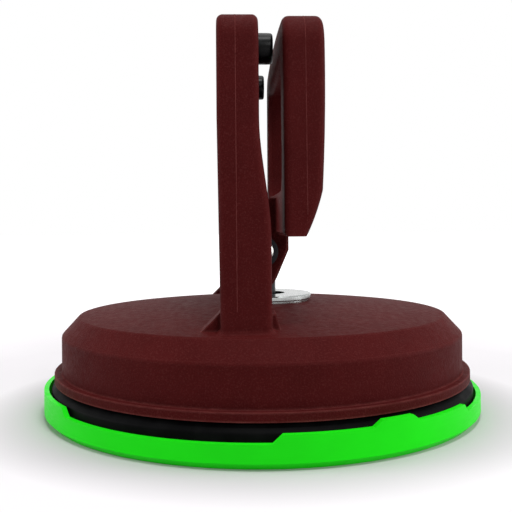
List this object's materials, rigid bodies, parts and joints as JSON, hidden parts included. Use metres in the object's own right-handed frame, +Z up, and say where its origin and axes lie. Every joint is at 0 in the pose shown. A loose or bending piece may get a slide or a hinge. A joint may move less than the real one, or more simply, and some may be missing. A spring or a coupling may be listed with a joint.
{
  "type": "floor tile suction lifter",
  "caption": "Round rubber suction cup under a die-cast housing with a fixed D-shaped grip and a hinged cam lever, standing in its protective plastic cover.",
  "frame": {"origin": "on the cup's axis, at the bottom of the protective cover", "axes": "+Z up along the cup's axis; +X from the fixed grip towards the hinged lever; +Y along the width of the grip"},
  "size_m": [0.1234, 0.1234, 0.1052],
  "materials": {
    "cover_plastic": "bright green moulded plastic, satin gloss",
    "cup_rubber": "black moulded rubber",
    "bumper_rubber": "black glossy rubber",
    "powder_coat": "dark maroon powder coat on die-cast aluminium, fine texture",
    "polished_steel": "polished",
    "plated_steel": "zinc plated",
    "spring_steel": "oiled spring steel",
    "black_steel": "black phosphated steel",
    "bush_bronze": "sintered bronze",
    "nylon": "natural nylon"
  },
  "bodies": {
    "cover": {"cover": "cover_plastic"},
    "housing": {"housing": "powder_coat", "rubber_cup": "cup_rubber", "bumper_near": "bumper_rubber", "bumper_far": "bumper_rubber", "under_washer": "polished_steel", "wear_disc": "polished_steel", "guide_bush": "bush_bronze", "release_spring": "spring_steel"},
    "stem": {"spring_seat": "plated_steel", "backing_plate": "plated_steel", "plate_stud": "plated_steel", "lock_washer": "spring_steel", "lock_nut": "plated_steel", "stem_eye": "plated_steel"},
    "lever": {"lever": "powder_coat", "pivot_pin": "plated_steel", "pivot_clip_near": "black_steel", "pivot_clip_far": "black_steel", "thrust_washer_near": "nylon", "thrust_washer_far": "nylon"}
  },
  "joints": [
    {"name": "cover_release", "type": "slide", "parent": "cover", "child": "housing", "axis": [0, 0, 1], "range_m": [0, 0.03]},
    {"name": "stem_draw", "type": "slide", "parent": "housing", "child": "stem", "axis": [0, 0, 1], "range_m": [-0.0058, 0], "deforming": ["rubber_cup", "release_spring"]},
    {"name": "lever_swing", "type": "hinge", "parent": "stem", "child": "lever", "pos_m": [0, 0, 0.0446], "axis": [0, 1, 0], "range_deg": [0, 66.8]}
  ],
  "couplings": [
    {"joint": "stem_draw", "follows": "lever_swing", "m_per_rad": -0.0049147}
  ]
}
